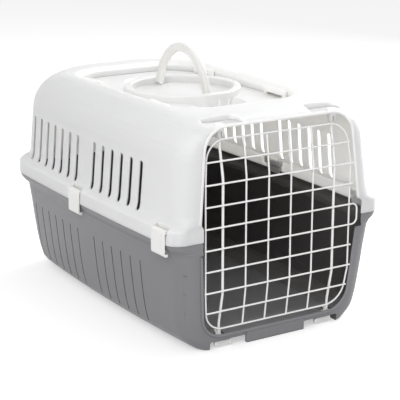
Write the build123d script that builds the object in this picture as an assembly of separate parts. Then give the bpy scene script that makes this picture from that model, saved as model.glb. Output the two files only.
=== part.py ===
from build123d import *
from math import asin, atan, cos, degrees, hypot, radians, sin
import os

# A pet carrier: a grey lower shell and a white upper shell joined at a raised rim by six
# swinging clips, a wire door on two thick upright bars, and a translucent roof panel that
# carries a folding handle. The front faces -Y, up is +Z, and the origin lies on the floor,
# 280 mm before the rear of the rim.

# Rim, the widest outline of both shells
rim_width = 377.0
rim_front = -273.5
rim_rear = 280.0
rim_bow = 6.5
rim_height = 167.5
shell_wall = 2.6
floor_wall = 2.8

# Outlines of the lower shell from the floor to the rim. Each line holds the height, the insets
# of the sides, the front and the rear, the bow of the sides, and the radius of the front and
# the rear corners. The front inset counts from a line 280 mm before the origin.
box_front = -280.0
lower_sections = [
    (0.0, 58.0, 21.5, 60.0, 8.0, 14.0, 48.0),
    (2.0, 52.5, 20.2, 54.0, 8.5, 16.0, 51.0),
    (6.0, 45.5, 19.6, 47.0, 9.5, 19.0, 55.0),
    (12.0, 37.0, 19.0, 38.5, 10.0, 22.0, 61.0),
    (18.0, 31.0, 18.5, 32.5, 10.0, 24.0, 65.0),
    (24.0, 27.0, 18.0, 28.5, 10.2, 26.0, 68.0),
    (40.0, 22.8, 16.6, 24.0, 10.4, 27.0, 71.0),
    (60.0, 19.6, 14.9, 20.5, 10.5, 28.0, 73.0),
    (90.0, 16.2, 12.4, 16.5, 10.7, 28.0, 74.0),
    (118.0, 13.7, 10.0, 13.5, 10.8, 28.0, 75.0),
    (148.0, 10.2, 7.5, 10.5, 10.5, 27.0, 76.0),
    (152.6, 8.6, 7.0, 9.2, 9.6, 26.0, 77.0),
    (153.6, 7.4, 8.0, 8.2, 9.2, 26.0, 78.0),
    (157.0, 3.9, 8.0, 4.6, 8.0, 25.0, 79.0),
    (161.5, 1.6, 7.7, 2.0, 7.0, 24.0, 80.0),
    (rim_height, 0.5, 7.5, 0.5, 6.5, 24.0, 80.0),
]

# Outlines of the upper shell from the rim to the top of the slots, in the same order
upper_sections = [
    (rim_height, 0.0, 6.5, 0.0, 6.5, 24.0, 80.0),
    (185.5, 0.6, 6.7, 0.6, 6.6, 24.0, 80.0),
    (188.0, 2.0, 7.0, 2.2, 6.8, 24.5, 80.0),
    (190.5, 5.5, 7.3, 6.0, 7.4, 25.5, 79.5),
    (194.0, 9.6, 7.6, 10.5, 8.3, 27.0, 79.0),
    (199.0, 12.0, 7.8, 13.2, 9.2, 29.0, 78.0),
    (205.0, 13.2, 8.1, 14.6, 9.6, 31.0, 78.0),
    (264.5, 18.2, 11.4, 18.2, 10.0, 34.0, 76.0),
]

# Roof edge above them, a quarter of an ellipse on the sides and the rear
shoulder_height = 272.0
shoulder_side_inset = 19.0
shoulder_rear_inset = 18.7
shoulder_bow = 9.9
shoulder_front_radius = 34.0
shoulder_rear_radius = 76.0
roof_rise = 64.0
roof_side_run = 49.0
roof_rear_run = 41.0
roof_bow = 4.0
roof_front_radius = 70.0
roof_rear_radius = 98.0

# Brow, the long slope from the front wall up to the roof
front_wall_inset = 11.4
brow_foot_height = 300.0
brow_foot_inset = 13.5
brow_depth = 70.0

# Roof recess and its panel
recess_width = 212.0
recess_length = 356.0
recess_radius = 55.0
recess_edge_drop = 6.0
recess_lip_width = 12.0
panel_drop = 15.0
panel_wall = 2.5
panel_gap = 0.5
panel_ledge = 8.0
ring_inner_radius = 79.4
ring_outer_radius = 91.0
ring_height = 11.0
bowl_radius = 44.0
bowl_floor_radius = 34.0
bowl_depth = 12.0
bowl_centre = 98.0
gusset_thickness = 1.6
gusset_angles = (-18.3, -6.0, 6.0, 18.3)

# Front opening, half widths and heights
opening_sill_half = 126.0
opening_jamb_half = 135.0
opening_left_band_half = 131.7
opening_right_band_half = 144.5
opening_high_half = 136.0
opening_top_half = 123.0
opening_band_low = 148.0
opening_band_high = 187.0
opening_high_foot = 195.0
opening_top = 325.0
opening_top_radius = 36.0
opening_low_radius = 36.0
sill_height = 20.0
bead_radius = 2.3

# Sill bench, its skirt and the latch holes
skirt_y = -260.0
bench_depth = 33.0
bench_wall = 2.5
notch_inner = 51.0
notch_outer = 113.0
notch_height = 12.0
latch_hole_width = 19.6
latch_hole_depth = 11.0
latch_hole_back = 3.5

# Ventilation slots and the grooves below them
slot_pitch = 27.3
slots_front = 6
slots_rear = 7
slot_middle = 2.0
slot_width = 10.0
slot_bottom = 193.5
slot_top = 265.5
groove_width = 2.2
groove_depth = 1.1
groove_bottom = 24.0
groove_top = 118.0
crease_radius = 12.0
crease_angle = 40.0
crease_path = [(26.0, 0.3), (40.0, 1.0), (60.0, 1.2), (90.0, 1.2), (118.0, 0.9), (142.0, -0.3)]

# Shell clips
clip_width = 32.4
clip_side_gap = 0.4
clip_thickness = 2.6
clip_face_gap = 0.3
clip_barrel_radius = 3.0
clip_pin_radius = 1.2
clip_axis_inset = 4.4
clip_axis_z = 184.5
clip_bottom = 150.0
clip_bend_radius = 4.6
clip_top_radius = 1.8
clip_hook_reach = 4.0
clip_hook_gap = 0.4
clip_cheek = 4.0
clip_seat_top = 194.0
keeper_bottom = 154.5
keeper_height = 6.0
keeper_depth = 9.0
keeper_inset = 0.2
front_left_clip_y = -239.0
front_right_clip_y = -226.0
middle_clip_y = 8.0
rear_clip_x = 75.0
front_tongue_y = -222.0
tongue_inset = 4.8
tongue_drop = 3.9

# Door of welded wire
door_y = -267.0
upright_pitch = 38.5
row_pitch = 31.35
row_count = 8
door_middle = 168.4
door_half_width = 125.0
door_head_half_width = 119.0
door_half_height = 138.8
door_flat_half = 83.0
door_lean = 7.3
door_corner_radius = 32.0
door_bend_radius = 40.0
frame_wire_radius = 1.3
thin_wire_radius = 1.3
bar_radius = 1.9
wire_gap = 0.02
row_overhang = 2.5
loop_reach = 12.7
loop_radius = 9.0
seam_x = -31.0
seam_gap = 1.0

# Door sockets and latches
bar_top = 318.0
bar_bottom = 22.0
socket_radius = 6.5
socket_taper = 1.5
bar_clearance = 0.06
latch_travel = 5.5
latch_tab_length = 29.0
latch_tab_height = 8.3
latch_tab_thickness = 3.5
latch_tab_floor_gap = 1.2
latch_tab_shift = 7.5
latch_shoe_length = 24.0
latch_shoe_height = 3.2
latch_slide_gap = 0.3
latch_rail_reach = 1.6
latch_post_width = 8.0
latch_post_depth = 6.0
latch_post_back = 1.5
latch_post_top = 27.6

# Handle
handle_half_span = 80.9
handle_centre_height = 305.0
handle_rise = 92.5
handle_pivot_height = 327.0
handle_thickness = 14.0
handle_width = 9.2
handle_edge_radius = 3.0
trunnion_radius = 2.0
trunnion_reach = 3.8
pin_clearance = 0.05

# Catches along the long edges of the recess
panel_catch_length = 55.0
panel_catch_width = 5.0
panel_catch_height = 9.0
panel_catch_inset = 1.2
panel_catch_front_y = -106.0
panel_catch_rear_y = 100.0
panel_catch_gap = 4.0
catch_leg_length = 7.0

# Values worked out from the sizes above
rim_middle = (rim_front + rim_rear) / 2
rim_half_length = (rim_rear - rim_front) / 2
roof_height = shoulder_height + roof_rise
recess_edge = roof_height - recess_edge_drop
panel_top = roof_height - panel_drop
panel_bottom = panel_top - panel_wall
bar_x = 2.5 * upright_pitch
row_y = door_y - thin_wire_radius - thin_wire_radius - wire_gap
bar_y = door_y + door_lean + frame_wire_radius + bar_radius + wire_gap


def mix(low, high, share):
    return low + (high - low) * share


# Rounded outline of one section, with bowed long sides
def outline(section):
    z, side, front, rear, bow, front_radius, rear_radius = section
    half = rim_width / 2 - side
    near = box_front + front
    far = rim_rear - rear
    corner = half - bow
    middle = (near + far) / 2
    edges = [
        Line((-corner, near), (corner, near)),
        ThreePointArc((corner, near), (half, middle), (corner, far)),
        Line((corner, far), (-corner, far)),
        ThreePointArc((-corner, far), (-half, middle), (-corner, near)),
    ]
    face = make_face(edges)
    face = fillet(face.vertices().sort_by(Axis.Y)[:2], front_radius)
    face = fillet(face.vertices().sort_by(Axis.Y)[-2:], rear_radius)
    return Pos(0, 0, z) * face


# Front inset of the upper shell where its roof curves in
def brow_inset(z):
    wall_top = upper_sections[-1][0]
    if z < brow_foot_height:
        return mix(front_wall_inset, brow_foot_inset, (z - wall_top) / (brow_foot_height - wall_top))
    angle = asin(min((z - brow_foot_height) / (roof_height - brow_foot_height), 1))
    return brow_foot_inset + brow_depth * (1 - cos(angle)) ** 2


def roof_sections():
    sections = []
    for angle in (0, 9, 18, 27, 36, 45, 54, 63, 72, 81, 90):
        turn = 1 - cos(radians(angle))
        z = shoulder_height + roof_rise * sin(radians(angle))
        sections.append((
            z,
            shoulder_side_inset + roof_side_run * turn,
            brow_inset(z),
            shoulder_rear_inset + roof_rear_run * turn,
            mix(shoulder_bow, roof_bow, turn),
            mix(shoulder_front_radius, roof_front_radius, turn),
            mix(shoulder_rear_radius, roof_rear_radius, turn),
        ))
    return sections


# The same sections moved inwards, square to the side wall, by a wall thickness
def inside(sections, wall):
    moved = []
    for i, section in enumerate(sections):
        z, side, front, rear, bow, front_radius, rear_radius = section
        below = sections[max(i - 1, 0)]
        above = sections[min(i + 1, len(sections) - 1)]
        rise = above[0] - below[0]
        lean = above[1] - below[1]
        across = wall * rise / hypot(rise, lean)
        up = -wall * lean / hypot(rise, lean)
        moved.append((
            z + up, side + across, front + across, rear + across, bow,
            max(front_radius - across, 2.0), max(rear_radius - across, 2.0),
        ))
    return moved


# One section copied to another height
def at_height(section, z):
    return (z, *section[1:])


def stack(sections):
    return loft([outline(section) for section in sections], ruled=True)


def block(x_low, x_high, y_low, y_high, z_low, z_high):
    centre = ((x_low + x_high) / 2, (y_low + y_high) / 2, (z_low + z_high) / 2)
    return Pos(*centre) * Box(x_high - x_low, y_high - y_low, z_high - z_low)


# Place on the rim: origin at the rim surface, local X outwards, local Y along the rim
def side_place(side, y):
    away = (y - rim_middle) / rim_half_length
    x = rim_width / 2 - rim_bow * away**2
    slope = degrees(atan(2 * rim_bow * away / rim_half_length))
    turn = slope if side > 0 else 180 - slope
    return Location((side * x, y, 0), (0, 0, turn))


def rear_place(x):
    return Location((x, rim_rear, 0), (0, 0, 90))


clip_places = {
    "front_left": side_place(-1, front_left_clip_y),
    "front_right": side_place(1, front_right_clip_y),
    "middle_left": side_place(-1, middle_clip_y),
    "middle_right": side_place(1, middle_clip_y),
    "rear_left": rear_place(-rear_clip_x),
    "rear_right": rear_place(rear_clip_x),
}
tongue_places = [
    side_place(-1, front_tongue_y),
    side_place(1, front_tongue_y),
    side_place(-1, middle_clip_y),
    side_place(1, middle_clip_y),
    rear_place(-rear_clip_x),
    rear_place(rear_clip_x),
]
slot_rows = [slot_middle + slot_pitch * i for i in range(-slots_front, slots_rear + 1) if i != 0]


# Plane that lies on the sloping front face of a shell, its Y axis running up the slope
def front_plane(low_z, low_inset, high_z, high_inset):
    rise = high_z - low_z
    back = high_inset - low_inset
    lean = (back**2 + rise**2) ** 0.5
    return Plane(
        origin=(0, box_front + low_inset, low_z),
        x_dir=(1, 0, 0),
        z_dir=(0, -rise / lean, back / lean),
    )


# Opening

# Outline of the door opening, seen from the front; the rim band leaves more room on the right,
# where the pull of the door stands out
def opening_profile():
    left = Polyline(
        (-opening_sill_half, sill_height),
        (-opening_jamb_half, opening_band_low),
        (-opening_left_band_half, opening_band_low),
        (-opening_left_band_half, opening_band_high),
        (-opening_high_half, opening_high_foot),
        (-opening_top_half, opening_top),
    )
    right = Polyline(
        (opening_sill_half, sill_height),
        (opening_jamb_half, opening_band_low),
        (opening_right_band_half, opening_band_low),
        (opening_right_band_half, opening_band_high),
        (opening_high_half, opening_high_foot),
        (opening_top_half, opening_top),
    )
    bottom = Line((-opening_sill_half, sill_height), (opening_sill_half, sill_height))
    top = Line((-opening_top_half, opening_top), (opening_top_half, opening_top))
    face = make_face([left, right, bottom, top])
    by_height = face.vertices().sort_by(Axis.Y)
    face = fillet(by_height[:2], opening_low_radius)
    face = fillet(face.vertices().sort_by(Axis.Y)[-2:], opening_top_radius)
    return face


def opening_cut():
    profile = Plane.XZ * opening_profile()
    depth = bench_depth + brow_depth / 2
    return Pos(0, box_front - 20, 0) * extrude(profile, -(depth + 20))


# Round lip that follows the edge of the opening on one shell's front face
def opening_bead(plane, points, radii):
    slope = abs(plane.z_dir.Y)
    flat = [(x, (z - plane.origin.Z) / slope) for x, z in points]
    path = plane * FilletPolyline(*flat, radius=radii)
    section = Plane(origin=path @ 0, z_dir=path % 0) * Circle(bead_radius)
    return sweep(section, path)


# Lower shell


def lower_shell():
    outer = stack(lower_sections)
    for place in clip_places.values():
        outer += place * clip_keeper()
    inner = inside(lower_sections, shell_wall)
    inner[0] = at_height(inner[0], floor_wall)
    inner.append(at_height(inner[-1], rim_height + 1))
    hollow = stack(inner)
    bench_y = skirt_y + bench_depth
    half = rim_width / 2
    hollow -= block(-half, half, box_front, bench_y, 0, sill_height)
    shell = outer - hollow
    shell += sill_skirt()
    shell -= opening_cut()
    shell += lower_bead()
    shell -= sill_pocket()
    shell += latch_rails()
    for y in slot_rows:
        shell -= wall_groove(-1, y)
        shell -= wall_groove(1, y)
    for side in (-1, 1):
        shell -= corner_crease(side)
    return shell


def lower_bead():
    low = section_at(lower_sections, sill_height)
    high = section_at(lower_sections, opening_band_low)
    plane = front_plane(sill_height, low[2], opening_band_low, high[2])
    points = [
        (-opening_jamb_half, opening_band_low - 1),
        (-opening_sill_half, sill_height - bead_radius / 2),
        (opening_sill_half, sill_height - bead_radius / 2),
        (opening_jamb_half, opening_band_low - 1),
    ]
    return opening_bead(plane, points, opening_low_radius)


# Middle block of the skirt under the sill, a little proud of the corners
def sill_skirt():
    near = skirt_y - bench_wall
    skirt = block(-notch_inner, notch_inner, near, near + 2 * bench_wall, 0, sill_height - bead_radius)
    return fillet(skirt.edges().filter_by(Axis.Z).group_by(Axis.Y)[0], 1.0)


# Hollow under the bench, the two finger notches and the latch holes
def sill_pocket():
    bench_y = skirt_y + bench_depth
    top = sill_height - bench_wall
    pocket = block(-notch_outer, notch_outer, skirt_y + bench_wall, bench_y - bench_wall, -1, top)
    for side in (-1, 1):
        low = min(side * notch_inner, side * notch_outer)
        high = max(side * notch_inner, side * notch_outer)
        notch = block(low, high, skirt_y - 10, skirt_y + bench_wall + 1, -1, notch_height)
        pocket += fillet(notch.edges().filter_by(Axis.Y).group_by(Axis.Z)[-1], 3.0)
        hole = block(
            side * bar_x - latch_hole_width / 2,
            side * bar_x + latch_hole_width / 2,
            bar_y + latch_hole_back - latch_hole_depth / 2,
            bar_y + latch_hole_back + latch_hole_depth / 2,
            top - 1,
            sill_height + 1,
        )
        pocket += hole
    return pocket


# Rails under the bench that carry the latch shoes
def latch_rails():
    top = sill_height - bench_wall
    low = top - latch_slide_gap - latch_shoe_height - latch_slide_gap
    rails = Part()
    reach = latch_shoe_length / 2 + latch_travel + 3
    for side in (-1, 1):
        x_low = side * bar_x - reach
        x_high = side * bar_x + reach
        back = bar_y + latch_hole_back + latch_hole_depth / 2 + 2
        rails += block(x_low, x_high, back + latch_slide_gap, back + 2, low - 1.5, top + 0.5)
        rails += block(x_low, x_high, back - 2, back + 2, low - 1.5, low)
        rail_back = skirt_y + bench_wall + latch_rail_reach
        rails += block(x_low, x_high, skirt_y + 1, rail_back, low - 1.5, low)
    return rails


# Section at any height between two listed ones
def section_at(sections, z):
    for low, high in zip(sections, sections[1:]):
        if low[0] <= z <= high[0]:
            share = (z - low[0]) / (high[0] - low[0])
            return tuple(mix(a, b, share) for a, b in zip(low, high))


def lower_half_width(y, z):
    _, side, front, rear, bow, _, _ = section_at(lower_sections, z)
    near = box_front + front
    far = rim_rear - rear
    middle = (near + far) / 2
    return rim_width / 2 - side - bow * ((y - middle) / (far - middle)) ** 2


# Thin groove that follows the curve of the wall
def wall_groove(side, y):
    heights = [section[0] for section in lower_sections if groove_bottom <= section[0] <= groove_top]
    inner = [(side * (lower_half_width(y, z) - groove_depth), y - groove_width / 2, z) for z in heights]
    outer = [(side * (lower_half_width(y, z) + 3), y - groove_width / 2, z) for z in heights]
    face = make_face(Polyline(*inner, *reversed(outer), close=True))
    return extrude(face, groove_width, dir=(0, 1, 0))


# Soft upright crease between the side and the front, fading out at both ends; its path lists
# heights and depths
def corner_crease(side):
    angle = radians(crease_angle)
    points = []
    for z, depth in crease_path:
        _, inset, front, rear, bow, radius, _ = section_at(lower_sections, z)
        away = radius + crease_radius - depth
        share = radius / ((rim_rear - rear - box_front - front) / 2)
        spread = bow * share * (2 - share)
        points.append(Vector(
            side * (rim_width / 2 - inset - bow + spread - radius + away * sin(angle)),
            box_front + front + radius - away * cos(angle),
            z,
        ))
    rods = Part()
    for low, high in zip(points, points[1:]):
        rods += Plane(origin=low, z_dir=high - low) * Cylinder(
            crease_radius, (high - low).length, align=(Align.CENTER, Align.CENTER, Align.MIN)
        )
    return rods


# Lug under the rim band that the hook of a clip grips
def clip_keeper():
    half = clip_width / 2 - 2
    return block(-keeper_depth, -keeper_inset, -half, half, keeper_bottom, keeper_bottom + keeper_height)


# Upper shell


def upper_body(wall=0.0):
    sections = upper_sections + roof_sections()
    if wall:
        sections = inside(sections, wall)
        sections[0] = at_height(sections[0], rim_height - 1)
    return stack(sections)


def upper_shell():
    outer = upper_body()
    inner = upper_body(shell_wall)
    for side in (-1, 1):
        inner -= brow_pocket(side, shell_wall)
    tub = recess_prism(panel_bottom - shell_wall, roof_height, shell_wall)
    tub += recess_prism(recess_edge - shell_wall, roof_height, recess_lip_width + shell_wall / 2)
    shell = (outer - inner) + (tub & outer)
    shell -= recess_mouth()
    shell -= recess_prism(panel_bottom, roof_height, 0)
    shell -= recess_prism(panel_bottom - 20, roof_height, -panel_ledge)
    for side in (-1, 1):
        shell -= brow_pocket(side, 0)
    shell -= opening_cut()
    shell += upper_bead()
    for side in (-1, 1):
        shell += door_socket(side) & upper_limit()
    for side in (-1, 1):
        shell -= socket_slot(side)
    for y in slot_rows:
        shell -= vent_slot(y)
    for place in clip_places.values():
        shell += place * clip_block() & outer
    for place in tongue_places:
        shell += place * locating_tongue()
    for place in clip_places.values():
        shell -= place * clip_pocket()
        shell += place * clip_pin()
    for side in (-1, 1):
        for y in (panel_catch_front_y, panel_catch_rear_y):
            shell -= catch_window(side, y)
    return shell


def upper_bead():
    low = section_at(upper_sections, opening_high_foot)
    plane = front_plane(opening_high_foot, low[2], brow_foot_height, brow_foot_inset)
    beyond = bead_radius / 2
    points = [
        (-opening_high_half - beyond, opening_high_foot - 2),
        (-opening_top_half - beyond, opening_top + beyond),
        (opening_top_half + beyond, opening_top + beyond),
        (opening_high_half + beyond, opening_high_foot - 2),
    ]
    return opening_bead(plane, points, opening_top_radius + beyond)


# Room that the sockets may fill: everything below the roof's outer skin
def upper_limit():
    return upper_body(shell_wall / 2)


def vent_slot(y):
    length = slot_top - slot_bottom
    profile = Plane.YZ * Pos(y, (slot_top + slot_bottom) / 2) * SlotOverall(length, slot_width, rotation=90)
    return extrude(profile, rim_width / 2, both=True)


def recess_outline(z, grow):
    width = recess_width + 2 * grow
    length = recess_length + 2 * grow
    return Pos(0, 0, z) * RectangleRounded(width, length, recess_radius + grow)


def recess_prism(z_low, z_high, grow):
    return extrude(recess_outline(z_low, grow), z_high - z_low + 5)


# Rounded mouth of the recess, falling from the crest of the roof to the recess edge
def recess_mouth():
    rings = []
    for share in (0.0, 0.25, 0.5, 0.75, 1.0):
        z = recess_edge + recess_edge_drop * (1 - (1 - share) ** 2)
        rings.append(recess_outline(z, recess_lip_width * share))
    top = loft(rings, ruled=True)
    return top + extrude(recess_outline(roof_height, recess_lip_width), 5)


def brow_pocket(side, grow):
    low = min(side * 58, side * 116)
    high = max(side * 58, side * 116)
    floor = opening_top + 1.0 - grow
    back = box_front + brow_foot_inset + 35.0
    box = block(low - grow, high + grow, box_front - 20, back + grow, floor, roof_height + 10)
    return fillet(box.edges().filter_by(Axis.Z).group_by(Axis.Y)[-1], 9.0)


# Hanging socket for the top end of a door bar
def door_socket(side):
    low = door_middle + door_half_height + frame_wire_radius + 1.5
    cone = Cone(socket_radius - socket_taper, socket_radius + socket_taper, roof_height - low)
    return Pos(side * bar_x, bar_y, (low + roof_height) / 2) * cone


def socket_slot(side):
    top = bar_top + 0.5
    low = door_middle + door_half_height - 5
    bore = Pos(side * bar_x, bar_y, (low + top) / 2) * Cylinder(bar_radius + bar_clearance, top - low)
    half = bar_radius + 5 * bar_clearance
    mouth = block(
        side * bar_x - half, side * bar_x + half, bar_y - 2 * socket_radius, bar_y, low, top
    )
    return bore + mouth


# Clip seat in the rim band of the upper shell


def clip_block():
    half = clip_width / 2 + clip_side_gap + clip_cheek
    low = clip_axis_z - clip_barrel_radius - 1.0 - shell_wall
    inner = -clip_axis_inset - clip_barrel_radius - 1.0 - shell_wall
    return block(inner, 1.0, -half, half, low, clip_seat_top)


def clip_pocket():
    half = clip_width / 2 + clip_side_gap
    low = clip_axis_z - clip_barrel_radius - 1.0
    inner = -clip_axis_inset - clip_barrel_radius - 1.0
    return block(inner, 20, -half, half, low, clip_seat_top + 20)


# Axle of a clip, moulded between the two cheeks of its seat
def clip_pin():
    length = clip_width + 2 * clip_side_gap + clip_cheek
    return Pos(-clip_axis_inset, 0, clip_axis_z) * Rot(90, 0, 0) * Cylinder(clip_pin_radius, length)


# Tongue that drops inside the lower rim and keeps the shells in line
def locating_tongue():
    half = clip_width / 2
    tongue = block(
        -tongue_inset - 2.0, -tongue_inset, -half, half, rim_height - tongue_drop, rim_height + 6
    )
    root = block(-tongue_inset - 2.0, -shell_wall + 0.3, -half, half, rim_height + 1, rim_height + 6)
    return tongue + root


def catch_window(side, y):
    half = panel_catch_length / 2 - catch_leg_length
    low = min(side * recess_width / 2 - 2 * side, side * (recess_width / 2 + 3 * shell_wall))
    high = max(side * recess_width / 2 - 2 * side, side * (recess_width / 2 + 3 * shell_wall))
    return block(low, high, y - half, y + half, panel_top + 0.5, panel_top + panel_catch_gap)


# Clips


def shell_clip():
    inner = clip_face_gap
    outer = clip_face_gap + clip_thickness
    hook_top = keeper_bottom - clip_hook_gap
    half = clip_width / 2
    centre = (-clip_axis_inset, 0, clip_axis_z)
    top = clip_axis_z + clip_barrel_radius
    body = block(inner, outer, -half, half, clip_bottom, clip_axis_z)
    body += block(-clip_hook_reach, inner + 0.1, -half, half, clip_bottom, hook_top)
    lowest = body.edges().filter_by(Axis.Y).group_by(Axis.Z)[0]
    body = fillet(lowest.sort_by(Axis.X)[-1], clip_bend_radius)
    body += block(-clip_axis_inset, outer, -half, half, clip_axis_z, top)
    body += block(-clip_axis_inset, inner + 0.1, -half, half, clip_axis_z - 2.0, top)
    body += Pos(*centre) * Rot(90, 0, 0) * Cylinder(clip_barrel_radius, clip_width)
    highest = body.edges().filter_by(Axis.Y).group_by(Axis.Z)[-1]
    body = fillet(highest.sort_by(Axis.X)[-1], clip_top_radius)
    bore = Pos(*centre) * Rot(90, 0, 0) * Cylinder(clip_pin_radius + pin_clearance, clip_width + 1)
    return body - bore


# Roof panel


def roof_panel():
    low = panel_top - bowl_depth - panel_wall
    top = extrude(recess_outline(low, -panel_gap), panel_top - low)
    top += disc(ring_outer_radius, panel_top - 1, panel_top + ring_height)
    top -= disc(ring_inner_radius, panel_top, panel_top + ring_height + 1)
    crown = top.edges().group_by(Axis.Z)[-1]
    top = fillet(crown, 2.2)
    under = extrude(recess_outline(low - 5, panel_gap), panel_bottom - low + 5)
    under += disc(ring_outer_radius - panel_wall, panel_bottom - 1, panel_top + ring_height - panel_wall)
    under -= disc(ring_inner_radius + panel_wall, panel_bottom, panel_top + ring_height)
    for side in (-1, 1):
        top -= panel_bowl(side, 0) - disc(ring_outer_radius, low - 10, panel_top + 1)
        under -= panel_bowl(side, panel_wall) - disc(ring_outer_radius - panel_wall, low - 10, panel_top + 1)
    panel = top - under
    reach = 2 * (ring_inner_radius + panel_wall) + 1
    bore = Rot(90, 0, 0) * Cylinder(trunnion_radius + pin_clearance, reach)
    panel -= Pos(0, 0, handle_pivot_height) * bore
    for side in (-1, 1):
        for angle in gusset_angles:
            panel += ring_gusset(side, angle)
    return panel


def disc(radius, z_low, z_high):
    column = Cylinder(radius, z_high - z_low, align=(Align.CENTER, Align.CENTER, Align.MIN))
    return Pos(0, 0, z_low) * column


# Sloping bowl before or behind the ring; grow makes the same shape a wall thickness larger
def panel_bowl(side, grow):
    low = panel_top - bowl_depth - grow
    cone = Cone(
        bowl_floor_radius + grow, bowl_radius + grow, bowl_depth + grow,
        align=(Align.CENTER, Align.CENTER, Align.MIN),
    )
    return Pos(0, side * bowl_centre, low) * cone


# Small upright web between the ring and the floor of a bowl
def ring_gusset(side, angle):
    low = panel_top - bowl_depth - panel_wall / 2
    web = block(
        -gusset_thickness / 2, gusset_thickness / 2, ring_outer_radius - 1.0, ring_outer_radius + 3.0,
        low, panel_top,
    )
    turn = angle if side > 0 else 180 + angle
    return Rot(0, 0, turn) * web


# Springy bridge along the edge of the recess that holds the panel down
def panel_catch(side, y):
    outer = side * (recess_width / 2 - panel_catch_inset)
    inner = outer - side * panel_catch_width
    low = min(outer, inner)
    high = max(outer, inner)
    half = panel_catch_length / 2
    top = panel_top + panel_catch_gap + panel_catch_height
    bar = block(low, high, y - half, y + half, panel_top, top)
    bar -= block(
        low - 1, high + 1, y - half + catch_leg_length, y + half - catch_leg_length,
        panel_top - 1, panel_top + panel_catch_gap,
    )
    return fillet(bar.edges().group_by(Axis.Z)[-1], 2.0)


# Handle


def handle_reach(half_span, rise):
    share = (handle_pivot_height - handle_centre_height) / rise
    return half_span * (1 - share**2) ** 0.5


def handle():
    inner_span = handle_half_span - handle_thickness
    inner_rise = handle_rise - handle_thickness
    low = handle_pivot_height - handle_centre_height
    arch = Ellipse(handle_half_span, handle_rise) - Ellipse(inner_span, inner_rise)
    arch -= Pos(0, low - handle_rise) * Rectangle(3 * handle_half_span, 2 * handle_rise)
    solid = extrude(Plane.YZ * arch, handle_width / 2, both=True)
    solid = Pos(0, 0, handle_centre_height) * solid
    solid = fillet(solid.edges().filter_by(GeomType.ELLIPSE), handle_edge_radius)
    near = handle_reach(inner_span, inner_rise)
    far = handle_reach(handle_half_span, handle_rise)
    for side in (-1, 1):
        foot = Cylinder(handle_width / 2, far - near)
        pin = Cylinder(trunnion_radius, trunnion_reach + 2)
        place = Pos(0, side * (near + far) / 2, handle_pivot_height) * Rot(90, 0, 0)
        solid += place * foot
        place = Pos(0, side * (far + trunnion_reach / 2 - 1), handle_pivot_height) * Rot(90, 0, 0)
        solid += place * pin
    return solid


# Door


def wire(points, radii, radius):
    path = FilletPolyline(*points, radius=radii)
    section = Plane(origin=path @ 0, z_dir=path % 0) * Circle(radius)
    return sweep(section, path)


# Frame of one bent wire, its ends meeting in the bottom run between two uprights
def door_frame():
    head = door_middle + door_half_height
    foot = door_middle - door_half_height
    lean_y = door_y + door_lean
    kink_high = door_middle + door_flat_half
    kink_low = door_middle - door_flat_half
    points = [
        (seam_x - seam_gap / 2, lean_y, foot),
        (-door_head_half_width, lean_y, foot),
        (-door_half_width, door_y, kink_low),
        (-door_half_width, door_y, kink_high),
        (-door_head_half_width, lean_y, head),
        (door_head_half_width, lean_y, head),
        (door_half_width, door_y, kink_high),
        (door_half_width, door_y, kink_low),
        (door_head_half_width, lean_y, foot),
        (seam_x + seam_gap / 2, lean_y, foot),
    ]
    corner = door_corner_radius
    bend = door_bend_radius
    return wire(points, [corner, bend, bend, corner, corner, bend, bend, corner], frame_wire_radius)


def door_upright(x, radius, low, high, low_y, high_y, flat_y):
    points = [
        (x, low_y, low),
        (x, flat_y, door_middle - door_flat_half),
        (x, flat_y, door_middle + door_flat_half),
        (x, high_y, high),
    ]
    return wire(points, [door_bend_radius, door_bend_radius], radius)


def thin_upright(x):
    inside = door_half_height - frame_wire_radius - wire_gap
    lean = door_y + door_lean
    return door_upright(
        x, thin_wire_radius, door_middle - inside, door_middle + inside, lean, lean, door_y
    )


# Thick bar: pivots in a socket at the top and a latch at the bottom
def thick_bar(side):
    x = side * bar_x
    flat = row_y + thin_wire_radius + bar_radius + wire_gap
    points = [
        (x, bar_y, bar_bottom),
        (x, bar_y, door_middle - door_half_height + 8),
        (x, flat, door_middle - door_flat_half),
        (x, flat, door_middle + door_flat_half),
        (x, bar_y, door_middle + door_half_height - 8),
        (x, bar_y, bar_top),
    ]
    bend = door_bend_radius
    return wire(points, [bend, bend, bend, bend], bar_radius)


def row_height(row):
    return door_middle + (row - (row_count - 1) / 2) * row_pitch


def cross_wire(row):
    z = row_height(row)
    beyond = max(abs(z - door_middle) - door_flat_half, 0)
    lean = door_lean * beyond / (door_half_height - door_flat_half)
    outer_row = row in (0, row_count - 1)
    inset = (door_half_width - door_head_half_width) * beyond / (door_half_height - door_flat_half)
    overhang = frame_wire_radius if outer_row else row_overhang
    half = door_half_width - inset + overhang
    y = row_y + lean
    return Pos(0, y, z) * Rot(0, 90, 0) * Cylinder(thin_wire_radius, 2 * half)


# The two middle rows are one wire that runs out past the frame and turns back as a pull
def pull_wire():
    low = row_height(row_count // 2 - 1)
    high = row_height(row_count // 2)
    left = -door_half_width - row_overhang
    tip = door_half_width + loop_reach
    points = [(left, row_y, low), (tip, row_y, low), (tip, row_y, high), (left, row_y, high)]
    return wire(points, [loop_radius, loop_radius], thin_wire_radius)


# Latches, each a ribbed tab, a shoe that slides under the sill and a post that holds a bar


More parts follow.
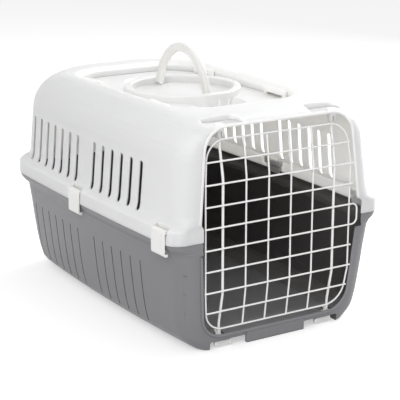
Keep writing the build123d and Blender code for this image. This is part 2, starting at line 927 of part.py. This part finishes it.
def latch(side):
    top = sill_height - bench_wall
    shoe_top = top - latch_slide_gap
    shoe_low = shoe_top - latch_shoe_height
    x = side * bar_x
    half = latch_shoe_length / 2
    front = skirt_y + bench_wall + latch_slide_gap
    rail_back = skirt_y + bench_wall + latch_rail_reach
    back = bar_y + latch_hole_back + latch_hole_depth / 2 + 2 - latch_slide_gap
    body = block(x - half, x + half, front, back, shoe_low, shoe_top)
    tab_x = x - side * latch_tab_shift
    tab_low = latch_tab_floor_gap
    tab_top = latch_tab_floor_gap + latch_tab_height
    tab_front = bar_y - 1.0
    tab = latch_tab(side, tab_front)
    body += Pos(tab_x, 0, 0) * tab
    neck_front = rail_back + latch_slide_gap
    body += block(x - 5, x + 5, neck_front, neck_front + 2.4, tab_low + 2, shoe_low + 1)
    post_low = shoe_top - 0.5
    post_y = bar_y + latch_post_back
    post = loft([
        Pos(x, post_y, post_low) * RectangleRounded(latch_post_width, latch_post_depth, 1.5),
        Pos(x, post_y, latch_post_top) * RectangleRounded(latch_post_width - 1, latch_post_depth - 1, 1.2),
    ])
    wing = block(
        x - latch_post_width / 2 - 1, x + latch_post_width / 2 + 1, post_y + 0.8, post_y + 2.8,
        latch_post_top - 3.5, latch_post_top,
    )
    body += post + wing
    room = bar_radius + bar_clearance
    bore = Pos(x, bar_y, bar_bottom - 0.5) * Cylinder(
        room, latch_post_top, align=(Align.CENTER, Align.CENTER, Align.MIN)
    )
    outside = min(x, x + side * 20)
    beyond = max(x, x + side * 20)
    open_side = block(outside, beyond, bar_y - 20, bar_y + room, bar_bottom - 0.5, latch_post_top + 5)
    open_front = block(x - 20, x + 20, bar_y - 20, bar_y, bar_bottom - 0.5, latch_post_top + 5)
    return body - bore - open_side - open_front


# Tab with a slanted outer corner, a rounded inner end and three thumb ribs
def latch_tab(side, front):
    half = latch_tab_length / 2
    low = latch_tab_floor_gap
    top = low + latch_tab_height
    corner = 4.0
    profile = Polyline(
        (-side * half, low),
        (side * (half - 1.4 * corner), low),
        (side * half, low + corner),
        (side * half, top),
        (-side * half, top),
        close=True,
    )
    face = make_face(profile)
    inner_end = face.vertices().sort_by(Axis.X)
    picked = inner_end[-2:] if side < 0 else inner_end[:2]
    face = fillet(picked, 3.4)
    tab = Pos(0, front, 0) * extrude(Plane.XZ * face, -latch_tab_thickness)
    for step in (0.28, 0.5, 0.72):
        z = low + latch_tab_height * step
        tab += block(-half + corner, half - corner, front - 0.5, front + 0.5, z - 0.45, z + 0.45)
    return tab


def save(name, shape):
    export_step(shape, "parts/" + name + ".step")


def main():
    os.makedirs("parts", exist_ok=True)
    save("lower_shell", lower_shell())
    save("upper_shell", upper_shell())
    save("roof_panel", roof_panel())
    for label, side, y in (
        ("front_left", -1, panel_catch_front_y),
        ("front_right", 1, panel_catch_front_y),
        ("rear_left", -1, panel_catch_rear_y),
        ("rear_right", 1, panel_catch_rear_y),
    ):
        save("panel_catch_" + label, panel_catch(side, y))
    save("handle", handle())
    save("door_frame", door_frame())
    save("door_bar_left", thick_bar(-1))
    save("door_bar_right", thick_bar(1))
    for number, step in enumerate((-1.5, -0.5, 0.5, 1.5)):
        save("door_upright_" + str(number + 1), thin_upright(step * upright_pitch))
    for row in range(row_count):
        if row not in (row_count // 2 - 1, row_count // 2):
            save("door_row_" + str(row + 1), cross_wire(row))
    save("door_pull_wire", pull_wire())
    save("latch_left", latch(-1))
    save("latch_right", latch(1))
    for label, place in clip_places.items():
        save("clip_" + label, place * shell_clip())


main()
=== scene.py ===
import bpy
from mathutils import Matrix, Vector


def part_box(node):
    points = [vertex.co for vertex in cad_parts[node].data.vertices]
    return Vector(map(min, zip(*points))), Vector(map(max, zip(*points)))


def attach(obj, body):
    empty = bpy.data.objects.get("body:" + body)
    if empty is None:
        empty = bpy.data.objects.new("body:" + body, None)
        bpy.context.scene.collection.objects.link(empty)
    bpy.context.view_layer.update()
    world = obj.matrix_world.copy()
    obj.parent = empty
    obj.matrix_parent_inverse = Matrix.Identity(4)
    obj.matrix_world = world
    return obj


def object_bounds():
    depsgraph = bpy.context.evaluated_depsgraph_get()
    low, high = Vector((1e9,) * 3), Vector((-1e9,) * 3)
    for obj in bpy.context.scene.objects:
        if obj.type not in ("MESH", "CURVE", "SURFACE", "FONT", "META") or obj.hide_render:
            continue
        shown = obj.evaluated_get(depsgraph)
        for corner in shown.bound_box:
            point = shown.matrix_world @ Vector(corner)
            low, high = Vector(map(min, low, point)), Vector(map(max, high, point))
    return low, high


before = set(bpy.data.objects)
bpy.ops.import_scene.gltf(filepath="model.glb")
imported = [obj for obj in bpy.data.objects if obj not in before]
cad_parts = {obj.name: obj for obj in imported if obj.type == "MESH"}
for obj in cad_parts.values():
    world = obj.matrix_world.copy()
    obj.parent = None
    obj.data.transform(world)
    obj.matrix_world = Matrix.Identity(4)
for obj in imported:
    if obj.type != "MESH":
        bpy.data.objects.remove(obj)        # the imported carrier: bodies, nodes, joints and record
cadLow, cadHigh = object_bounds()
scene = bpy.context.scene


def addNode(tree, kind, **settings):
    node = tree.nodes.new(kind)
    for label, value in settings.items():
        setattr(node, label, value)
    return node


def mathNode(tree, operation, *values, clamp=False):
    node = addNode(tree, "ShaderNodeMath", operation=operation, use_clamp=clamp)
    for socket, value in zip(node.inputs, values):
        if isinstance(value, (int, float)):
            socket.default_value = value
        else:
            tree.links.new(value, socket)
    return node.outputs[0]


# 1 where a ray comes from the camera, a mirror or a glassy surface, else 0
def backdropMask(tree):
    path = addNode(tree, "ShaderNodeLightPath")
    seen = mathNode(tree, "MAXIMUM", path.outputs["Is Camera Ray"], path.outputs["Is Glossy Ray"])
    return mathNode(tree, "MAXIMUM", seen, path.outputs["Is Transmission Ray"])


# World: plain sky light on the carrier, white where it is seen

def addWorld(light):
    scene.view_settings.view_transform = "Standard"
    scene.world = bpy.data.worlds.new("studioWorld")
    scene.world.use_nodes = True
    tree = scene.world.node_tree
    tree.nodes.clear()
    seen = backdropMask(tree)
    ambient = addNode(tree, "ShaderNodeBackground")
    ambient.inputs["Color"].default_value = light["skyColour"]
    ambient.inputs["Strength"].default_value = light["skyLevel"]
    plain = addNode(tree, "ShaderNodeBackground")
    plain.inputs["Color"].default_value = (1, 1, 1, 1)
    plain.inputs["Strength"].default_value = 1.0
    blend = addNode(tree, "ShaderNodeMixShader")
    end = addNode(tree, "ShaderNodeOutputWorld")
    tree.links.new(seen, blend.inputs["Fac"])
    tree.links.new(ambient.outputs[0], blend.inputs[1])
    tree.links.new(plain.outputs[0], blend.inputs[2])
    tree.links.new(blend.outputs[0], end.inputs["Surface"])


# Camera, seen from the front left and a little above

cameraView = {
    "place": (-1.0561, -1.7497, 0.7205),
    "target": (-0.1341, -0.267, 0.2281),
    "lens": 119.26,
    "sensor": 36.0,
}


def addCamera(look):
    direction = Vector(look["target"]) - Vector(look["place"])
    turn = direction.to_track_quat("-Z", "Y").to_euler()
    bpy.ops.object.camera_add(location=look["place"], rotation=turn)
    camera = bpy.context.object
    camera.name = "photoCamera"
    camera.data.lens = look["lens"]
    camera.data.sensor_width = look["sensor"]
    scene.camera = camera
    print("camera placed")


# Lights and floor

studioLight = {
    "skyColour": (1.0, 1.0, 1.0, 1.0),
    "skyLevel": 0.595,
    "lamps": {
        "keyLamp": {"place": (-1.7, -1.6, 1.7), "size": 1.8, "power": 35.0},
        "topLamp": {"place": (0.5, 0.4, 2.4), "size": 2.2, "power": 4.0},
        "rightLamp": {"place": (1.8, 0.4, 1.1), "size": 1.6, "power": 38.0},
    },
    "aim": (0.0, 0.0, 0.18),
}


def addLamps(light):
    for name, lamp in light["lamps"].items():
        direction = Vector(light["aim"]) - Vector(lamp["place"])
        turn = direction.to_track_quat("-Z", "Y").to_euler()
        bpy.ops.object.light_add(type="AREA", location=lamp["place"], rotation=turn)
        made = bpy.context.object
        made.name = name
        made.data.energy = lamp["power"]
        made.data.size = lamp["size"]
    print("lamps placed")


studioFloor = {
    "size": 30.0,
    "drop": 0.0004,      # keeps the floor clear of the underside
    "colour": (0.68, 0.68, 0.68, 1.0),
    "lift": 0.48,        # brings the unshaded floor up to paper white
}


def addFloor(floor):
    bpy.ops.mesh.primitive_plane_add(size=floor["size"], location=(0, 0, cadLow.z - floor["drop"]))
    plane = bpy.context.object
    plane.name = "studioFloor"
    material = bpy.data.materials.new("paperFloor")
    material.use_nodes = True
    tree = material.node_tree
    tree.nodes.clear()
    matte = addNode(tree, "ShaderNodeBsdfDiffuse")
    matte.inputs["Color"].default_value = floor["colour"]
    glow = addNode(tree, "ShaderNodeEmission")
    strength = mathNode(tree, "MULTIPLY", backdropMask(tree), floor["lift"])
    tree.links.new(strength, glow.inputs["Strength"])
    both = addNode(tree, "ShaderNodeAddShader")
    end = addNode(tree, "ShaderNodeOutputMaterial")
    tree.links.new(matte.outputs[0], both.inputs[0])
    tree.links.new(glow.outputs[0], both.inputs[1])
    tree.links.new(both.outputs[0], end.inputs["Surface"])
    plane.data.materials.append(material)
    print("floor laid")


# Shader groups shared by the finishes

def newGroup(name, inputs, outputs):
    group = bpy.data.node_groups.new(name, "ShaderNodeTree")
    for label, value in inputs.items():
        socket = group.interface.new_socket(name=label, in_out="INPUT", socket_type="NodeSocketFloat")
        socket.default_value = value
    for label, kind in outputs.items():
        group.interface.new_socket(name=label, in_out="OUTPUT", socket_type=kind)
    start = group.nodes.new("NodeGroupInput")
    end = group.nodes.new("NodeGroupOutput")
    return group, start, end


def objectNoise(tree, scale, detail, stretch=(1, 1, 1)):
    where = addNode(tree, "ShaderNodeTexCoord")
    mapping = addNode(tree, "ShaderNodeMapping")
    mapping.inputs["Scale"].default_value = stretch
    noise = addNode(tree, "ShaderNodeTexNoise")
    noise.inputs["Detail"].default_value = detail
    tree.links.new(where.outputs["Object"], mapping.inputs["Vector"])
    tree.links.new(mapping.outputs[0], noise.inputs["Vector"])
    if isinstance(scale, (int, float)):
        noise.inputs["Scale"].default_value = scale
    else:
        tree.links.new(scale, noise.inputs["Scale"])
    return noise.outputs["Fac"]


# Spark-eroded mould texture: fine pits, and a slow swell in tone

mouldGrain = {"scale": 1400.0, "detail": 2.0, "swellScale": 9.0, "swellDetail": 1.0}


def mouldGrainGroup(look):
    group, start, end = newGroup(
        "mouldGrain",
        {"Grain Scale": look["scale"], "Swell Scale": look["swellScale"]},
        {"Height": "NodeSocketFloat", "Swell": "NodeSocketFloat"},
    )
    fine = objectNoise(group, start.outputs["Grain Scale"], look["detail"])
    broad = objectNoise(group, start.outputs["Swell Scale"], look["swellDetail"])
    group.links.new(fine, end.inputs["Height"])
    group.links.new(broad, end.inputs["Swell"])
    return group


# Softened edge normals and a broken mask along the edges that hands rub

rubbedEdge = {"radius": 0.001, "sharpness": 5.0, "samples": 4, "breakScale": 120.0, "breakDetail": 3.0}


def rubbedEdgeGroup(look):
    group, start, end = newGroup(
        "rubbedEdge",
        {"Radius": look["radius"], "Sharpness": look["sharpness"]},
        {"Mask": "NodeSocketFloat", "Normal": "NodeSocketVector"},
    )
    bevel = addNode(group, "ShaderNodeBevel", samples=look["samples"])
    group.links.new(start.outputs["Radius"], bevel.inputs["Radius"])
    surface = addNode(group, "ShaderNodeNewGeometry")
    likeness = addNode(group, "ShaderNodeVectorMath", operation="DOT_PRODUCT")
    group.links.new(bevel.outputs[0], likeness.inputs[0])
    group.links.new(surface.outputs["Normal"], likeness.inputs[1])
    turned = mathNode(group, "SUBTRACT", 1.0, likeness.outputs["Value"])
    strong = mathNode(group, "MULTIPLY", turned, start.outputs["Sharpness"], clamp=True)
    patches = objectNoise(group, look["breakScale"], look["breakDetail"])
    broken = mathNode(group, "MULTIPLY", strong, patches)
    group.links.new(broken, end.inputs["Mask"])
    group.links.new(bevel.outputs[0], end.inputs["Normal"])
    return group


# Thin dust that lies on faces that look up

settledDust = {"amount": 0.2, "patchScale": 24.0, "detail": 4.0}


def settledDustGroup(look):
    group, start, end = newGroup(
        "settledDust",
        {"Amount": look["amount"], "Patch Scale": look["patchScale"]},
        {"Mask": "NodeSocketFloat"},
    )
    surface = addNode(group, "ShaderNodeNewGeometry")
    split = addNode(group, "ShaderNodeSeparateXYZ")
    group.links.new(surface.outputs["Normal"], split.inputs[0])
    upward = mathNode(group, "MAXIMUM", split.outputs["Z"], 0.0)
    spread = objectNoise(group, start.outputs["Patch Scale"], look["detail"])
    patches = mathNode(group, "MULTIPLY", upward, spread)
    thin = mathNode(group, "MULTIPLY", patches, start.outputs["Amount"], clamp=True)
    group.links.new(thin, end.inputs["Mask"])
    return group


# Long faint rubs left by handling

handlingMark = {
    "scale": 18.0,
    "amount": 0.3,
    "detail": 5.0,
    "stretch": (0.6, 3.0, 7.0),
    "threshold": 0.56,
    "contrast": 9.0,
}


def handlingMarkGroup(look):
    group, start, end = newGroup(
        "handlingMark",
        {"Mark Scale": look["scale"], "Amount": look["amount"]},
        {"Mask": "NodeSocketFloat"},
    )
    streak = objectNoise(group, start.outputs["Mark Scale"], look["detail"], look["stretch"])
    lifted = mathNode(group, "SUBTRACT", streak, look["threshold"])
    sharp = mathNode(group, "MULTIPLY", lifted, look["contrast"], clamp=True)
    faint = mathNode(group, "MULTIPLY", sharp, start.outputs["Amount"])
    group.links.new(faint, end.inputs["Mask"])
    return group


# Painted shade: colour darkened in narrow grooves and gaps, where ambient occlusion finds surfaces close
# by

creviceShade = {"reach": 0.003, "strength": 1.6, "samples": 8, "openShare": 0.12}


def creviceGroup(look):
    group, start, end = newGroup(
        "creviceShade",
        {"Reach": look["reach"], "Strength": look["strength"]},
        {"Mask": "NodeSocketFloat"},
    )
    hidden = addNode(group, "ShaderNodeAmbientOcclusion", samples=look["samples"])
    group.links.new(start.outputs["Reach"], hidden.inputs["Distance"])
    covered = mathNode(group, "SUBTRACT", 1.0, hidden.outputs["AO"])
    deep = mathNode(group, "SUBTRACT", covered, look["openShare"], clamp=True)
    strong = mathNode(group, "MULTIPLY", deep, start.outputs["Strength"], clamp=True)
    group.links.new(strong, end.inputs["Mask"])
    return group


# Faces that look in towards the upright middle line of the carrier; the finishes give these faces a
# painted inside shade or a painted inside light

innerSide = {"sharpness": 3.0, "margin": 0.1}


def innerSideGroup(look):
    group, start, end = newGroup(
        "innerSide",
        {"Sharpness": look["sharpness"]},
        {"Mask": "NodeSocketFloat"},
    )
    where = addNode(group, "ShaderNodeTexCoord")
    level = addNode(group, "ShaderNodeVectorMath", operation="MULTIPLY")
    level.inputs[1].default_value = (1.0, 1.0, 0.0)
    outward = addNode(group, "ShaderNodeVectorMath", operation="NORMALIZE")
    surface = addNode(group, "ShaderNodeNewGeometry")
    likeness = addNode(group, "ShaderNodeVectorMath", operation="DOT_PRODUCT")
    group.links.new(where.outputs["Object"], level.inputs[0])
    group.links.new(level.outputs[0], outward.inputs[0])
    group.links.new(outward.outputs[0], likeness.inputs[0])
    group.links.new(surface.outputs["Normal"], likeness.inputs[1])
    inward = mathNode(group, "MULTIPLY", likeness.outputs["Value"], -1.0)
    clear = mathNode(group, "SUBTRACT", inward, look["margin"], clamp=True)
    sharp = mathNode(group, "MULTIPLY", clear, start.outputs["Sharpness"], clamp=True)
    group.links.new(sharp, end.inputs["Mask"])
    return group


shared = {
    "creviceShade": creviceGroup(creviceShade),
    "innerLightShade": innerSideGroup(innerSide),
    "grain": mouldGrainGroup(mouldGrain),
    "edge": rubbedEdgeGroup(rubbedEdge),
    "dust": settledDustGroup(settledDust),
    "mark": handlingMarkGroup(handlingMark),
}
print("shader groups built")


def placeGroup(tree, key, **values):
    node = addNode(tree, "ShaderNodeGroup", node_tree=shared[key])
    for label, value in values.items():
        node.inputs[label.replace("_", " ")].default_value = value
    return node


def mixColour(tree, mask, under, over):
    node = addNode(tree, "ShaderNodeMix", data_type="RGBA")
    tree.links.new(mask, node.inputs["Factor"])
    for socket, value in ((node.inputs[6], under), (node.inputs[7], over)):
        if isinstance(value, tuple):
            socket.default_value = value
        else:
            tree.links.new(value, socket)
    return node.outputs[2]


# Finishes

whitePlastic = {
    "name": "whitePlastic",
    "colour": (0.915, 0.908, 0.890, 1.0),
    "swellColour": (0.900, 0.892, 0.873, 1.0),
    "edgeColour": (0.935, 0.932, 0.922, 1.0),
    # painted light: the inward faces of the white plastic are a little lighter and warmer than its outer
    # faces
    "innerLightShadeColour": (0.935, 0.920, 0.885, 1.0),
    "dustColour": (0.70, 0.68, 0.64, 1.0),
    "roughness": 0.36,       # at the least, the grain adds up to the swing
    "roughnessSwing": 0.08,
    "rub": 0.18,             # how much a handling mark smooths
    # painted shade colour for the grooves and gaps of the white plastic
    "creviceShadeColour": (0.52, 0.51, 0.49, 1.0),
    "creviceShadeReach": 0.002,
    "glow": 0.85,            # share of the light that passes into the thin wall
    "glowDepth": 0.012,
    "glowTint": (1.0, 0.97, 0.90),
    "grainDepth": 0.00004,
    "grainScale": 1500.0,
    "edgeRadius": 0.0012,
    "dust": 0.10,
    "marks": 0.25,
}
greyPlastic = {
    "name": "greyPlastic",
    "colour": (0.214, 0.213, 0.225, 1.0),
    "swellColour": (0.203, 0.202, 0.214, 1.0),
    "edgeColour": (0.315, 0.315, 0.330, 1.0),
    # painted shade: the inward faces of the grey shell are far darker than its outer faces
    "innerLightShadeColour": (0.075, 0.070, 0.070, 1.0),
    "dustColour": (0.36, 0.35, 0.34, 1.0),
    "roughness": 0.38,
    "roughnessSwing": 0.08,
    "rub": 0.18,
    # painted shade colour for the grooves and gaps of the grey plastic
    "creviceShadeColour": (0.060, 0.058, 0.062, 1.0),
    "creviceShadeReach": 0.003,
    "glow": 0.0,
    "glowDepth": 0.001,
    "glowTint": (1.0, 0.97, 0.90),
    "grainDepth": 0.00005,
    "grainScale": 1300.0,
    "edgeRadius": 0.0012,
    "dust": 0.16,
    "marks": 0.30,
}
clipPlastic = dict(
    whitePlastic,
    name="clipPlastic",
    roughness=0.30,
    glow=0.2,
    grainDepth=0.00002,
    edgeRadius=0.0008,
)
# painted light: a lighter copy of the clip plastic with weaker painted shade in its grooves, so the
# latch tabs low in the shade by the floor look brightly lit
latchLitPlastic = dict(
    clipPlastic,
    name="latchLitPlastic",
    colour=(0.95, 0.945, 0.93, 1.0),
    innerLightShadeColour=(0.95, 0.945, 0.93, 1.0),
    creviceShadeColour=(0.80, 0.79, 0.77, 1.0),
    glow=0.0,
)
handlePlastic = dict(
    whitePlastic,
    name="handlePlastic",
    colour=(0.56, 0.555, 0.545, 1.0),
    # painted light: the inward faces of the handle are much lighter than its outer faces
    innerLightShadeColour=(0.80, 0.79, 0.77, 1.0),
    roughness=0.32,
    glow=0.2,
    grainDepth=0.00003,
    marks=0.45,
)


def plasticFinish(look):
    material = bpy.data.materials.new(look["name"])
    material.use_nodes = True
    tree = material.node_tree
    shader = tree.nodes["Principled BSDF"]
    shader.inputs["Subsurface Weight"].default_value = look["glow"]
    shader.inputs["Subsurface Scale"].default_value = look["glowDepth"]
    shader.inputs["Subsurface Radius"].default_value = look["glowTint"]
    grain = placeGroup(tree, "grain", Grain_Scale=look["grainScale"])
    edge = placeGroup(tree, "edge", Radius=look["edgeRadius"])
    dust = placeGroup(tree, "dust", Amount=look["dust"])
    mark = placeGroup(tree, "mark", Amount=look["marks"])
    body = mixColour(tree, grain.outputs["Swell"], look["colour"], look["swellColour"])
    # painted light and shade on inward faces: darker inside the grey shell, lighter on the white parts
    # and handle
    innerLightShade = placeGroup(tree, "innerLightShade")
    innerLitShaded = mixColour(tree, innerLightShade.outputs["Mask"], body, look["innerLightShadeColour"])
    worn = mixColour(tree, edge.outputs["Mask"], innerLitShaded, look["edgeColour"])
    dusty = mixColour(tree, dust.outputs["Mask"], worn, look["dustColour"])
    # painted shade: darker colour in grooves and gaps
    creviceShadeNode = placeGroup(tree, "creviceShade", Reach=look["creviceShadeReach"])
    shaded = mixColour(tree, creviceShadeNode.outputs["Mask"], dusty, look["creviceShadeColour"])
    tree.links.new(shaded, shader.inputs["Base Color"])
    rough = mathNode(
        tree, "MULTIPLY_ADD", grain.outputs["Height"], look["roughnessSwing"], look["roughness"]
    )
    dulled = mathNode(tree, "ADD", rough, dust.outputs["Mask"])
    rubbed = mathNode(tree, "MULTIPLY", mark.outputs["Mask"], look["rub"])
    tree.links.new(mathNode(tree, "SUBTRACT", dulled, rubbed), shader.inputs["Roughness"])
    bump = addNode(tree, "ShaderNodeBump")
    bump.inputs["Distance"].default_value = look["grainDepth"]
    tree.links.new(grain.outputs["Height"], bump.inputs["Height"])
    tree.links.new(edge.outputs["Normal"], bump.inputs["Normal"])
    tree.links.new(bump.outputs[0], shader.inputs["Normal"])
    return material


panelPlastic = {
    "name": "panelPlastic",
    "colour": (0.895, 0.895, 0.890, 1.0),
    "swellColour": (0.880, 0.880, 0.875, 1.0),
    "dustColour": (0.80, 0.80, 0.78, 1.0),
    "roughness": 0.24,
    "roughnessSwing": 0.10,
    "transmission": 0.08,
    "refraction": 1.49,
    "glow": 0.7,
    "glowDepth": 0.006,
    "glowTint": (1.0, 1.0, 1.0),
    "grainScale": 900.0,
    "edgeRadius": 0.0012,
    "dust": 0.10,
}


def panelFinish(look):
    material = bpy.data.materials.new(look["name"])
    material.use_nodes = True
    tree = material.node_tree
    shader = tree.nodes["Principled BSDF"]
    shader.inputs["Transmission Weight"].default_value = look["transmission"]
    shader.inputs["Subsurface Weight"].default_value = look["glow"]
    shader.inputs["Subsurface Scale"].default_value = look["glowDepth"]
    shader.inputs["Subsurface Radius"].default_value = look["glowTint"]
    shader.inputs["IOR"].default_value = look["refraction"]
    grain = placeGroup(tree, "grain", Grain_Scale=look["grainScale"])
    edge = placeGroup(tree, "edge", Radius=look["edgeRadius"])
    dust = placeGroup(tree, "dust", Amount=look["dust"])
    body = mixColour(tree, grain.outputs["Swell"], look["colour"], look["swellColour"])
    dusty = mixColour(tree, dust.outputs["Mask"], body, look["dustColour"])
    tree.links.new(dusty, shader.inputs["Base Color"])
    rough = mathNode(
        tree, "MULTIPLY_ADD", grain.outputs["Height"], look["roughnessSwing"], look["roughness"]
    )
    tree.links.new(rough, shader.inputs["Roughness"])
    tree.links.new(edge.outputs["Normal"], shader.inputs["Normal"])
    return material


wireCoat = {
    "name": "wireCoat",
    "colour": (0.935, 0.933, 0.928, 1.0),
    "swellColour": (0.920, 0.917, 0.910, 1.0),
    "dustColour": (0.62, 0.60, 0.56, 1.0),
    "roughness": 0.23,
    "roughnessSwing": 0.10,
    "coat": 0.35,
    "grainScale": 260.0,
    "swellScale": 40.0,
    "runDepth": 0.00010,
    "dust": 0.22,
    "dustScale": 60.0,
}


def wireFinish(look):
    material = bpy.data.materials.new(look["name"])
    material.use_nodes = True
    tree = material.node_tree
    shader = tree.nodes["Principled BSDF"]
    shader.inputs["Coat Weight"].default_value = look["coat"]
    grain = placeGroup(tree, "grain", Grain_Scale=look["grainScale"], Swell_Scale=look["swellScale"])
    dust = placeGroup(tree, "dust", Amount=look["dust"], Patch_Scale=look["dustScale"])
    body = mixColour(tree, grain.outputs["Swell"], look["colour"], look["swellColour"])
    dusty = mixColour(tree, dust.outputs["Mask"], body, look["dustColour"])
    tree.links.new(dusty, shader.inputs["Base Color"])
    rough = mathNode(
        tree, "MULTIPLY_ADD", grain.outputs["Height"], look["roughnessSwing"], look["roughness"]
    )
    tree.links.new(rough, shader.inputs["Roughness"])
    bump = addNode(tree, "ShaderNodeBump")
    bump.inputs["Distance"].default_value = look["runDepth"]
    tree.links.new(grain.outputs["Height"], bump.inputs["Height"])
    tree.links.new(bump.outputs[0], shader.inputs["Normal"])
    return material


finishes = {
    "white": plasticFinish(whitePlastic),
    "grey": plasticFinish(greyPlastic),
    "clip": plasticFinish(clipPlastic),
    "latch": plasticFinish(latchLitPlastic),
    "handle": plasticFinish(handlePlastic),
    "panel": panelFinish(panelPlastic),
    "wire": wireFinish(wireCoat),
}
finishOf = {
    "lower_shell": "grey",
    "upper_shell": "white",
    "roof_panel": "panel",
    "panel_catch": "clip",
    "handle": "handle",
    "door": "wire",
    "latch": "latch",
    "clip": "clip",
}


def finishNodes():
    for name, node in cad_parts.items():
        key = next(finishOf[start] for start in finishOf if name.startswith(start))
        node.data.materials.clear()
        node.data.materials.append(finishes[key])
    print("finishes put on", len(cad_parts), "pieces")


# Door wire details

doorWire = {
    "straightRows": (1, 2, 3, 6, 7, 8),     # the two between them are the pull wire
    "uprights": (1, 2, 3, 4),
    "radius": 0.0013,
    "overhang": 0.0025,                     # how far a cross wire runs past the frame
    "beadSize": (0.0021, 0.0011, 0.0017),   # along the cross wire, through the joint, up
    "capSize": (0.0007, 0.00127, 0.00127),
    "segments": 12,
    "rings": 6,
    "bodyName": "door",
}


# Middle line of each cross wire: its two ends, its depth and its height
def crossWires(wire):
    rows = []
    for number in wire["straightRows"]:
        low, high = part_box("door_row_" + str(number))
        rows.append((low.x, high.x, (low.y + high.y) / 2, (low.z + high.z) / 2))
    low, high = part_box("door_pull_wire")
    for z in (low.z + wire["radius"], high.z - wire["radius"]):
        rows.append((low.x, -low.x, (low.y + high.y) / 2, z))
    return rows


# Places where one wire lies on another, worked out from the boxes of the wires
def wireCrossings(wire):
    columns = [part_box("door_upright_" + str(number)) for number in wire["uprights"]]
    columns += [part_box("door_bar_" + side) for side in ("left", "right")]
    columnX = [(low.x + high.x) / 2 for low, high in columns]
    rows = crossWires(wire)
    outerRows = (rows[0], rows[len(wire["straightRows"]) - 1])
    places = []
    for row in rows:
        lowX, highX, y, z = row
        inwards = wire["radius"] if row in outerRows else wire["overhang"]
        for x in columnX + [lowX + inwards, highX - inwards]:
            places.append((x, y + wire["radius"], z))
    return places


# Cut ends of the cross wires; the pull wire is cut at the left only
def wireEnds(wire):
    places = []
    for number, (lowX, highX, y, z) in enumerate(crossWires(wire)):
        places.append((lowX, y, z))
        if number < len(wire["straightRows"]):
            places.append((highX, y, z))
    return places


# One piece made of a copy at each place, in place of the first
def copyTo(piece, places, name):
    copies = []
    for place in places:
        copy = piece.copy()
        copy.data = piece.data.copy()
        copy.data.transform(Matrix.Translation(place))
        scene.collection.objects.link(copy)
        copies.append(copy)
    bpy.data.objects.remove(piece)
    bpy.ops.object.select_all(action="DESELECT")
    for copy in copies:
        copy.select_set(True)
    bpy.context.view_layer.objects.active = copies[0]
    bpy.ops.object.join()
    joined = bpy.context.object
    joined.name = name
    joined.data.name = name
    return joined


# Small rounded lumps of the wire coating, all in one piece
def addLumps(wire, size, places, name):
    bpy.ops.object.select_all(action="DESELECT")
    bpy.ops.mesh.primitive_uv_sphere_add(segments=wire["segments"], ring_count=wire["rings"], radius=1.0)
    bead = bpy.context.object
    bpy.ops.object.mode_set(mode="EDIT")
    bpy.ops.mesh.select_all(action="SELECT")
    bpy.ops.transform.resize(value=size)
    bpy.ops.object.mode_set(mode="OBJECT")
    bpy.ops.object.shade_smooth()
    beads = copyTo(bead, places, name)
    beads.data.materials.append(finishes["wire"])
    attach(beads, wire["bodyName"])
    print(name, "made")


addCamera(cameraView)
addWorld(studioLight)
addLamps(studioLight)
addFloor(studioFloor)
finishNodes()
addLumps(doorWire, doorWire["beadSize"], wireCrossings(doorWire), "weldBeads")
addLumps(doorWire, doorWire["capSize"], wireEnds(doorWire), "wireEndCaps")
